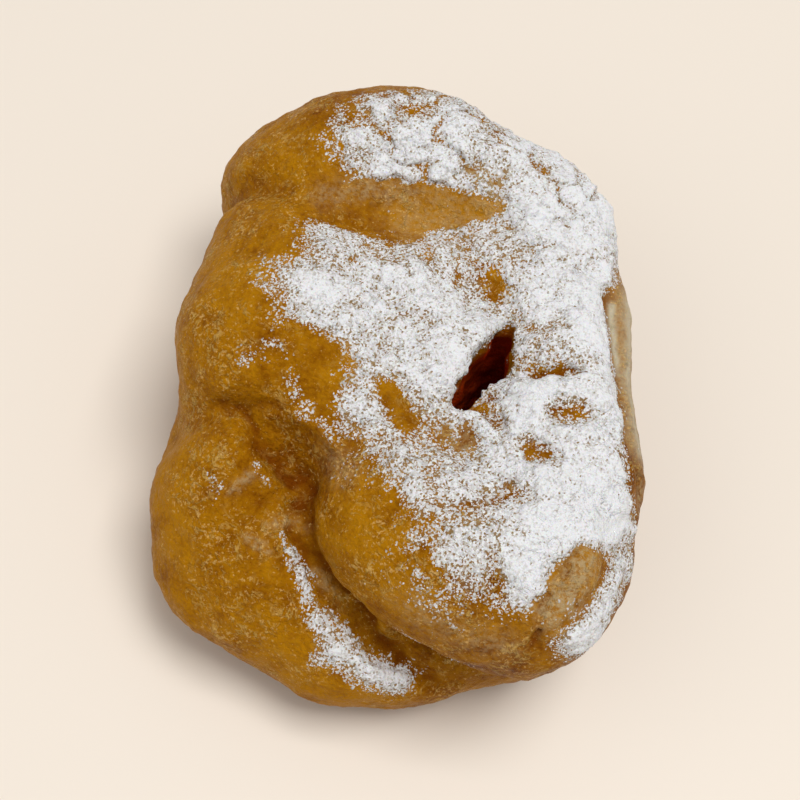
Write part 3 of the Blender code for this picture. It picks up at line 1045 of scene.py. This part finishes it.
def round_grain():
    """A twenty-faced lump of radius 1: its points and faces, wound to face outward."""
    golden = (1 + math.sqrt(5)) / 2
    points = []
    for a in (-1, 1):
        for b in (-golden, golden):
            points += [(0, a, b), (a, b, 0), (b, 0, a)]
    points = np.array(points, float) / math.sqrt(1 + golden**2)
    faces = []
    for face in combinations(range(len(points)), 3):
        first, second, third = points[list(face)]
        if max(math.dist(first, second), math.dist(second, third), math.dist(third, first)) < LUMP_SIDE:
            faces_out = np.dot(np.cross(second - first, third - first), first) > 0
            faces.append(face if faces_out else face[::-1])
    return points, np.array(faces)


def random_turns(draw, count):
    """Turns drawn evenly, as matrices."""
    w, x, y, z = draw.normal(size=(4, count))
    length = np.sqrt(w * w + x * x + y * y + z * z)
    w, x, y, z = w / length, x / length, y / length, z / length
    rows = [
        (1 - 2 * (y * y + z * z), 2 * (x * y - z * w), 2 * (x * z + y * w)),
        (2 * (x * y + z * w), 1 - 2 * (x * x + z * z), 2 * (y * z - x * w)),
        (2 * (x * z - y * w), 2 * (y * z + x * w), 1 - 2 * (x * x + y * y)),
    ]
    return np.array(rows).transpose(2, 0, 1)


def places_on(draw, points, faces, weight):
    """Places for the grains on faces drawn by area and weight, and the way out of the skin at each."""
    across = across_faces(points, faces)
    area = np.linalg.norm(across, axis=1)
    chance = area * weight
    chosen = draw.choice(len(faces), size=GRAINS, p=chance / chance.sum())
    share = draw.dirichlet((1, 1, 1, 1), size=GRAINS)
    places = (points[faces][chosen] * share[:, :, None]).sum(axis=1)
    return places, across[chosen] / area[chosen][:, None]


def scattered(draw, points, faces, weight):
    """Grains, each of its own shape and turn, on the skin: points and faces of them all."""
    places, outward = places_on(draw, points, faces, weight)
    smallest, largest = GRAIN_RADII
    radius = draw.uniform(0, 1, GRAINS) ** SMALL_MORE_OFTEN * (largest - smallest) + smallest
    lump, lump_faces = round_grain()
    shaped = lump[None] * draw.uniform(*GRAIN_DENTS, (GRAINS, len(lump), 1))
    shaped = shaped * draw.uniform(*GRAIN_STRETCH, (GRAINS, 1, 3))
    shaped = np.einsum("nij,nkj->nki", random_turns(draw, GRAINS), shaped) * radius[:, None, None]
    middles = places + outward * (GRAIN_LIFT * radius)[:, None]
    starts = len(lump) * np.arange(GRAINS)
    all_faces = lump_faces[None] + starts[:, None, None]
    return (shaped + middles[:, None]).reshape(-1, 3), all_faces.reshape(-1, 3)


def add_grains(points, faces, cover, to_part):
    """Loose grains round the sugar's edge and over the crust."""
    draw = np.random.default_rng(GRAIN_SEED)
    cover_here = cover[faces].mean(axis=1)
    edge = smooth_step(*GRAINS_BEGIN, cover_here) * smooth_step(*GRAINS_END, cover_here) + STRAY_GRAINS
    grains, grain_faces = scattered(draw, points, faces, edge)
    mesh = new_mesh("grains", to_part(grains), grain_faces)
    new_piece("grains", mesh, grain_material())


def add_floor():
    corners = FLOOR_REACH * np.array([(-1, -1, 0), (1, -1, 0), (1, 1, 0), (-1, 1, 0)])
    mesh = new_mesh("floor", corners, np.array([(0, 1, 2, 3)]))
    floor = bpy.data.objects.new("floor", mesh)
    bpy.context.scene.collection.objects.link(floor)
    mesh.materials.append(simple_material("floor", FLOOR_COLOUR, 0.6))


def add_light(name, place, size, power):
    lamp = bpy.data.lights.new(name, "AREA")
    lamp.size = size
    lamp.energy = power
    light = bpy.data.objects.new(name, lamp)
    light.location = place
    aim = Vector(LIT_PLACE) - Vector(place)
    light.rotation_euler = aim.to_track_quat("-Z", "Y").to_euler()
    bpy.context.scene.collection.objects.link(light)


def add_sky():
    world = bpy.data.worlds.new("world")
    bpy.context.scene.world = world
    world.use_nodes = True
    background = world.node_tree.nodes["Background"]
    background.inputs["Color"].default_value = (1, 1, 1, 1)
    background.inputs["Strength"].default_value = SKY_STRENGTH


def add_camera(target):
    back = Vector((0, -math.cos(CAMERA_ELEVATION), math.sin(CAMERA_ELEVATION)))
    data = bpy.data.cameras.new("camera")
    data.lens = CAMERA_LENS
    data.clip_start = 0.01
    camera = bpy.data.objects.new("camera", data)
    camera.location = target + back * CAMERA_DISTANCE
    turn = (-back).to_track_quat("-Z", "Y") @ Quaternion((0, 0, 1), CAMERA_ROLL)
    camera.rotation_euler = turn.to_euler()
    bpy.context.scene.collection.objects.link(camera)
    bpy.context.scene.camera = camera


def main():
    low, coarse = coarse_search()
    to_part = drawn_to_part(low, coarse)
    points, faces = dough_skin(low, coarse)
    cover = add_dough(points, faces, to_part)
    add_sugar(points, faces, cover, to_part)
    add_grains(points, faces, cover, to_part)
    add_floor()
    for light in LIGHTS:
        add_light(*light)
    add_sky()
    bpy.context.scene.view_settings.view_transform = "Standard"
    add_camera(Vector(to_part(SEEN)))


main()
bpy.context.view_layer.update()
